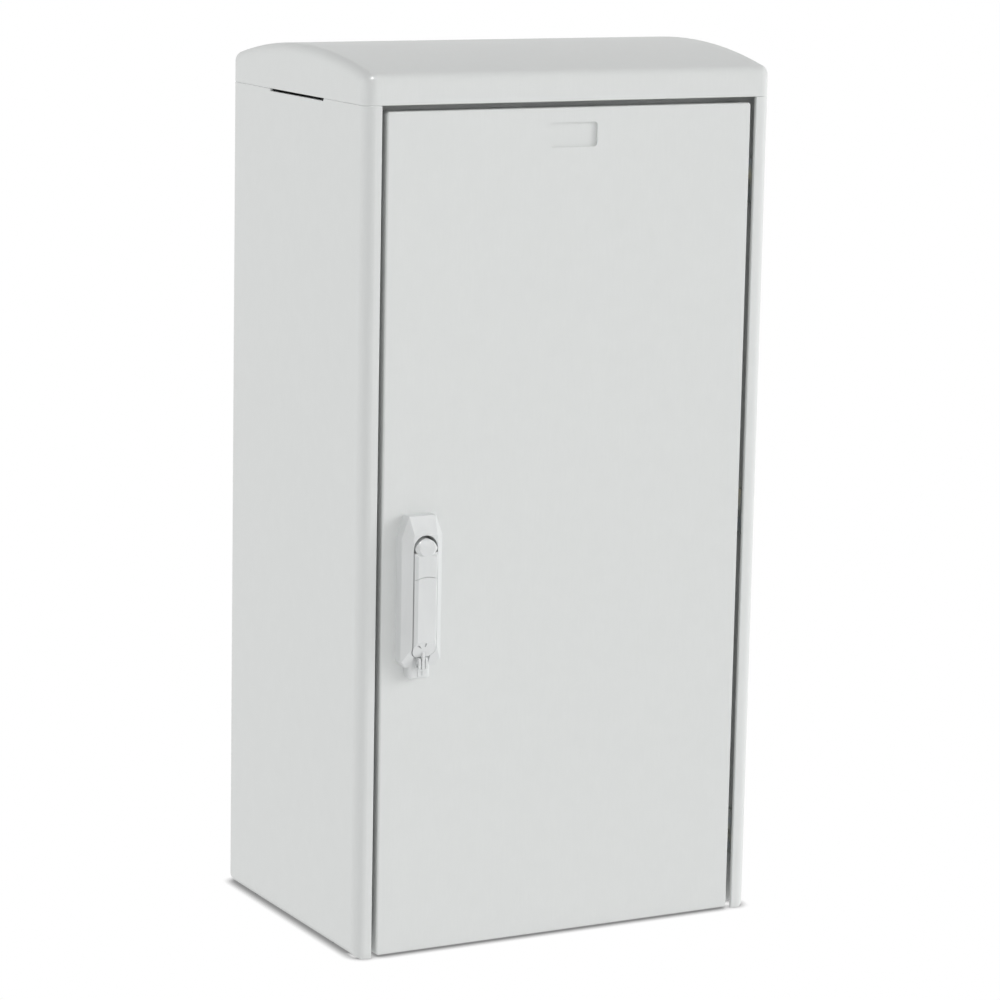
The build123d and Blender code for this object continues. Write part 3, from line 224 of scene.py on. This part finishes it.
def hot_dip_zinc():
    """Hot-dip galvanised sheet steel.

    To the eye: a matt grey metal in crystals, the spangle, about 14 mm across, each tilted a little.
    """
    material, tree, shader = blank("hot_dip_galvanised_sheet")
    place = add(tree, "ShaderNodeTexCoord").outputs["Object"]
    spangle = add(tree, "ShaderNodeTexVoronoi", None, {"Vector": place, "Scale": per_mm(14), "Randomness": 1.0})
    crystal = add(tree, "ShaderNodeSeparateColor", None, {"Color": spangle.outputs["Color"]})
    tone = add(tree, "ShaderNodeValToRGB", None, {"Fac": crystal.outputs["Red"]})
    tone.color_ramp.elements[0].color = linear("#A3A9AC")
    tone.color_ramp.elements[1].color = linear("#BEC3C5")
    tree.links.new(tone.outputs["Color"], shader.inputs["Base Color"])
    gloss = add(tree, "ShaderNodeMapRange", None,
                {"Value": crystal.outputs["Green"], "To Min": 0.36, "To Max": 0.58})
    tree.links.new(gloss.outputs["Result"], shader.inputs["Roughness"])
    feather = add(tree, "ShaderNodeTexNoise", None, {"Vector": place, "Scale": per_mm(2.5), "Detail": 3.0})
    bump = add(tree, "ShaderNodeBump", None,
               {"Height": feather.outputs["Fac"], "Strength": 0.15, "Distance": 0.04 * MM})
    tree.links.new(bump.outputs["Normal"], shader.inputs["Normal"])
    shader.inputs["Metallic"].default_value = 1.0
    return material


def sponge_rubber():
    """Extruded EPDM sponge with its closed skin.

    To the eye: near-black and dull, with pores about 0.8 mm wide, drawn at that size, and a bloom of dust grey.
    """
    material, tree, shader = blank("epdm_sponge_rubber")
    place = add(tree, "ShaderNodeTexCoord").outputs["Object"]
    pores = add(tree, "ShaderNodeTexVoronoi", None, {"Vector": place, "Scale": per_mm(0.8)})
    bloom = add(tree, "ShaderNodeTexNoise", None, {"Vector": place, "Scale": per_mm(35), "Detail": 3.0})
    tone = add(tree, "ShaderNodeValToRGB", None, {"Fac": bloom.outputs["Fac"]})
    tone.color_ramp.elements[0].position = 0.35
    tone.color_ramp.elements[0].color = linear("#1B1C1D")
    tone.color_ramp.elements[1].position = 0.75
    tone.color_ramp.elements[1].color = linear("#26282A")
    tree.links.new(tone.outputs["Color"], shader.inputs["Base Color"])
    bump = add(tree, "ShaderNodeBump", None,
               {"Height": pores.outputs["Distance"], "Strength": 0.4, "Distance": 0.12 * MM})
    tree.links.new(bump.outputs["Normal"], shader.inputs["Normal"])
    shader.inputs["Roughness"].default_value = 0.82
    return material


finishes = {
    "polyester": moulded_polyester(),
    "handle_polyamide": moulded_polyamide("moulded_polyamide_grey", "#D4D6D6", "#D9DBDB", 0.45, 0.34),
    "black_polyamide": moulded_polyamide("moulded_polyamide_black", "#232425", "#2C2D2F", 0.6, 0.48),
    "zinc_plated_steel": zinc_plate(),
    "galvanised_sheet": hot_dip_zinc(),
    "seal_rubber": sponge_rubber(),
}
slots = {row["node"]: row["material_slot"] for row in frame["record"]["subparts"]}
for name, item in nodes.items():
    item.data.materials.clear()
    item.data.materials.append(finishes[slots[name]])


def own_copy(node, body):
    """A copy of a CAD node's object that stands for the node and may be reshaped."""
    piece = nodes[node].copy()
    piece.data = nodes[node].data.copy()
    piece.name = piece.data.name = "finished_" + node
    piece.parent = None
    bpy.context.scene.collection.objects.link(piece)
    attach(piece, body)
    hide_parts(node)
    return piece


def reshape(piece, change):
    """Moves a piece's points: the change works on the whole array of them, one row of x, y and z for each."""
    points = np.empty(len(piece.data.vertices) * 3)
    piece.data.vertices.foreach_get("co", points)
    rows = points.reshape(-1, 3)
    change(rows)
    piece.data.vertices.foreach_set("co", rows.ravel())


def foot_envelope(low, high):
    """A closed tub round the cabinet.

    Its plan is the body's rounded rectangle: four quarter circles joined by straight lines. Below the foot's round,
    each ring draws in by round * (1 - cos) at the height round * (1 - sin), for angles from 90 degrees down. At the
    sides and back it draws in fully, and round the front corners less and less, on a smooth step. Where it doesn't
    draw in, it stands a little outside the body.
    """
    step = np.linspace(0, 1, CORNER_POINTS)
    smooth_step = step * step * (3 - 2 * step)
    plan, normals, share = [], [], []
    # each corner: its centre, its round, the angle at which it starts, and its share of the draw at start and end
    for centre_x, centre_y, corner, first, ease in (
        (low[0] + FRONT_CORNER, low[1] + FRONT_CORNER, FRONT_CORNER, 180, (1, 0)),
        (high[0] - FRONT_CORNER, low[1] + FRONT_CORNER, FRONT_CORNER, 270, (0, 1)),
        (high[0] - BACK_CORNER, high[1] - BACK_CORNER, BACK_CORNER, 0, (1, 1)),
        (low[0] + BACK_CORNER, high[1] - BACK_CORNER, BACK_CORNER, 90, (1, 1)),
    ):
        turn = np.radians(first + 90 * step)
        normal = np.stack([np.cos(turn), np.sin(turn)], axis=1)
        plan.append(np.array([centre_x, centre_y]) + corner * normal)
        normals.append(normal)
        share.append(ease[0] + (ease[1] - ease[0]) * smooth_step)
    plan, normals, share = np.concatenate(plan), np.concatenate(normals), np.concatenate(share)
    angles = np.radians(np.linspace(90, LAST_ANGLE, FOOT_RINGS))
    draw = np.concatenate([[FOOT_ROUND], FOOT_ROUND * (1 - np.cos(angles)), [-TUB_OUTSIDE, -TUB_OUTSIDE]])
    level = np.concatenate([[-TUB_OUTSIDE], FOOT_ROUND * (1 - np.sin(angles)), [FOOT_ROUND, high[2] + TUB_OUTSIDE]])
    inward = draw[:, None] * share - TUB_OUTSIDE * (1 - share)
    points = np.empty((len(level), len(plan), 3))
    points[..., :2] = plan - normals * inward[..., None]
    points[..., 2] = level[:, None]
    ring = np.arange(len(level) * len(plan)).reshape(len(level), len(plan))
    beside = np.roll(ring, -1, axis=1)
    walls = np.stack([ring[:-1], beside[:-1], beside[1:], ring[1:]], axis=-1).reshape(-1, 4)
    ends = [ring[0, ::-1].tolist(), ring[-1].tolist()]
    mesh = bpy.data.meshes.new("foot_envelope")
    mesh.from_pydata(points.reshape(-1, 3).tolist(), [], walls.tolist() + ends)
    tub = bpy.data.objects.new("foot_envelope", mesh)
    bpy.context.scene.collection.objects.link(tub)
    return tub


def keep_within(piece, tub):
    """Cuts a piece to what lies inside the tub, with flat faces shaded flat and rounds shaded smoothly."""
    cleaned = bmesh.new()
    cleaned.from_mesh(piece.data)
    bmesh.ops.remove_doubles(cleaned, verts=cleaned.verts, dist=SAME_POINT)
    cleaned.to_mesh(piece.data)
    cleaned.free()
    cut = piece.modifiers.new("foot_round", "BOOLEAN")
    cut.operation = "INTERSECT"
    cut.solver = "EXACT"
    cut.object = tub
    evaluated = piece.evaluated_get(bpy.context.evaluated_depsgraph_get())
    piece.data = bpy.data.meshes.new_from_object(evaluated)
    piece.modifiers.clear()
    piece.data.shade_smooth()
    piece.data.set_sharp_from_angle(angle=math.radians(SHARP_ANGLE))
    even = piece.modifiers.new("even_shading", "WEIGHTED_NORMAL")
    even.weight = 100
    even.keep_sharp = True


# Pressed foot: the side panels and the base tray draw in below on one round
tub = foot_envelope(body_low, body_high)
for node in ("left_side_panel", "right_side_panel", "base_tray"):
    keep_within(own_copy(node, "cabinet"), tub)
bpy.data.objects.remove(tub)

door_low, door_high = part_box("door_panel")
field_x = (door_low[0] + door_high[0]) / 2
field_z = door_high[2] - FIELD_DOWN


def larger_field(points):
    """Moves the label field's rim outwards and its floor inwards, with the door's skin still closed behind it."""
    x, behind, z = points[:, 0] - field_x, points[:, 1] - door_low[1], points[:, 2] - field_z
    field = (abs(x) < FIELD_REACH_X) & (abs(z) < FIELD_REACH_Z) & (behind < FIELD_REACH_Y)
    points[field & (x > 0), 0] += FIELD_RIGHT
    points[field & (x < 0), 0] -= FIELD_LEFT
    points[field & (z > 0), 2] += FIELD_UP
    points[field & (behind > FIELD_FLOOR), 1] += FIELD_DEEPER


reshape(own_copy("door_panel", "door"), larger_field)

lever_low, lever_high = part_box("lever_cover")
lever_x = (lever_low[0] + lever_high[0]) / 2
joints = {row["name"]: row for row in frame["record"]["behaviour"]["joints"]}
pin_z = joints["lever_lift"]["pos_m"][2]


def slimmer_lever(points):
    """Scales the width about the lever's middle, so that the gap to the housing's cheeks shows as a dark line.

    The share of the width rises in a straight line up to the pin, so that the hub fills the arch above it. Above
    the pin it falls again with the arch, so that the hub also clears it when the lever is lifted.
    """
    rise = (points[:, 2] - pin_z) / MM
    hub = LEVER_SHARE + HUB_MORE * np.clip(1 + rise / HUB_RUN, 0, 1)
    share = np.minimum(hub, ARCH_SHARE - ARCH_LESS_PER_MM * rise)
    points[:, 0] = lever_x + np.clip((points[:, 0] - lever_x) * share, -LEVER_HALF, LEVER_HALF)


for node in ("lever_arm", "lever_cover"):
    reshape(own_copy(node, "lever"), slimmer_lever)


def shown_white(tree):
    """1 for what the camera sees directly, in a mirror or through glass, and 0 for light on its way to a surface."""
    rays = add(tree, "ShaderNodeLightPath")
    seen = add(tree, "ShaderNodeMath", {"operation": "ADD", "use_clamp": True},
               {0: rays.outputs["Is Camera Ray"], 1: rays.outputs["Is Glossy Ray"]})
    seen = add(tree, "ShaderNodeMath", {"operation": "ADD", "use_clamp": True},
               {0: seen.outputs["Value"], 1: rays.outputs["Is Transmission Ray"]})
    return seen.outputs["Value"]


def pale_floor():
    """A pale studio floor: white to the eye, with the soft shadow that gathers where the cabinet stands on it."""
    material = bpy.data.materials.new("pale_studio_floor")
    material.use_nodes = True
    tree = material.node_tree
    tree.nodes.clear()
    # the contact shadow is darkest under the foot's round
    contact = add(tree, "ShaderNodeAmbientOcclusion", {"samples": 16}, {"Distance": SHADOW_REACH})
    depth = add(tree, "ShaderNodeFloatCurve", None, {"Value": contact.outputs["AO"]})
    curve = depth.mapping.curves[0]
    curve.points[0].location = (0.0, SHADOW_DARKEST)
    curve.points[1].location = (1.0, 1.0)
    for place in SHADOW_CURVE:
        curve.points.new(*place)
    for point in curve.points:
        point.handle_type = "VECTOR"
    depth.mapping.update()
    # half of that shadow also dims the light which the floor throws back up
    thrown = add(tree, "ShaderNodeMapRange", None,
                 {"Value": depth.outputs["Value"], "To Min": FLOOR_LIGHT / 2, "To Max": FLOOR_LIGHT})
    level = add(tree, "ShaderNodeMapRange", None,
                {"Value": shown_white(tree), "To Min": thrown.outputs["Result"], "To Max": depth.outputs["Value"]})
    white = add(tree, "ShaderNodeEmission", None, {"Color": (1, 1, 1, 1), "Strength": level.outputs["Result"]})
    output = add(tree, "ShaderNodeOutputMaterial")
    tree.links.new(white.outputs["Emission"], output.inputs["Surface"])
    return material


mesh = bpy.data.meshes.new("studio_floor")
corners = np.array([(-1, -1, 0), (1, -1, 0), (1, 1, 0), (-1, 1, 0)]) * FLOOR_HALF_SIZE
mesh.from_pydata(corners.tolist(), [], [(0, 1, 2, 3)])
mesh.materials.append(pale_floor())
floor = bpy.data.objects.new("studio_floor", mesh)
bpy.context.scene.collection.objects.link(floor)

world = bpy.data.worlds.new("studio_white")
world.use_nodes = True
tree = world.node_tree
tree.nodes.clear()
# the studio's walls light the cabinet more than its ceiling does
height = add(tree, "ShaderNodeSeparateXYZ", None, {"Vector": add(tree, "ShaderNodeTexCoord").outputs["Generated"]})
fade = add(tree, "ShaderNodeMapRange", None,
           {"Value": height.outputs["Z"], "To Min": WALL_LIGHT, "To Max": CEILING_LIGHT})
level = add(tree, "ShaderNodeMapRange", None,
            {"Value": shown_white(tree), "To Min": fade.outputs["Result"], "To Max": 1.0})
sky = add(tree, "ShaderNodeBackground", None, {"Color": (1, 1, 1, 1), "Strength": level.outputs["Result"]})
output = add(tree, "ShaderNodeOutputWorld")
tree.links.new(sky.outputs["Background"], output.inputs["Surface"])
bpy.context.scene.world = world


def studio_light(name, towards, strength, spread):
    """Even studio light from one direction, soft over the given spread in degrees."""
    data = bpy.data.lights.new(name, "SUN")
    data.energy = strength
    data.angle = math.radians(spread)
    lamp = bpy.data.objects.new(name, data)
    lamp.rotation_euler = Vector(towards).to_track_quat("Z", "Y").to_euler()
    bpy.context.scene.collection.objects.link(lamp)
    return lamp


studio_light("front_right_light", (0.72, -0.383, 0.20), 1.29, 32)
studio_light("back_left_light", (-0.83, 0.488, 0.28), 0.518, 40)
# two lamps that only show as glints: a dot on rounded corners and a thin line along the upper front edges
for name, towards, strength, spread in (
    ("corner_glint", (-0.207, -0.432, 0.877), 9.0, 16),
    ("edge_glint", (0.137, -0.537, 0.833), 1.6, 24),
):
    studio_light(name, towards, strength, spread).visible_diffuse = False

# Camera at the photograph's viewing angle
yaw, pitch, roll = (math.radians(angle) for angle in (TURNED, TILTED, ROLLED))
forward = Vector((math.sin(yaw) * math.cos(pitch), math.cos(yaw) * math.cos(pitch), math.sin(pitch)))
level_right = Vector((math.cos(yaw), -math.sin(yaw), 0.0))
level_up = level_right.cross(forward)
right = level_right * math.cos(roll) + level_up * math.sin(roll)
up = level_up * math.cos(roll) - level_right * math.sin(roll)
lens = bpy.data.cameras.new("camera")
lens.sensor_width = FILM_WIDTH
lens.lens = FOCAL_PIXELS * lens.sensor_width / PICTURE_PIXELS
lens.clip_end = SIGHT_END
camera = bpy.data.objects.new("camera", lens)
camera.matrix_world = Matrix.Translation(STANDPOINT) @ Matrix(
    [(right[i], up[i], -forward[i]) for i in range(3)]
).to_4x4()
bpy.context.scene.collection.objects.link(camera)
bpy.context.scene.camera = camera
bpy.context.scene.view_settings.view_transform = "Standard"
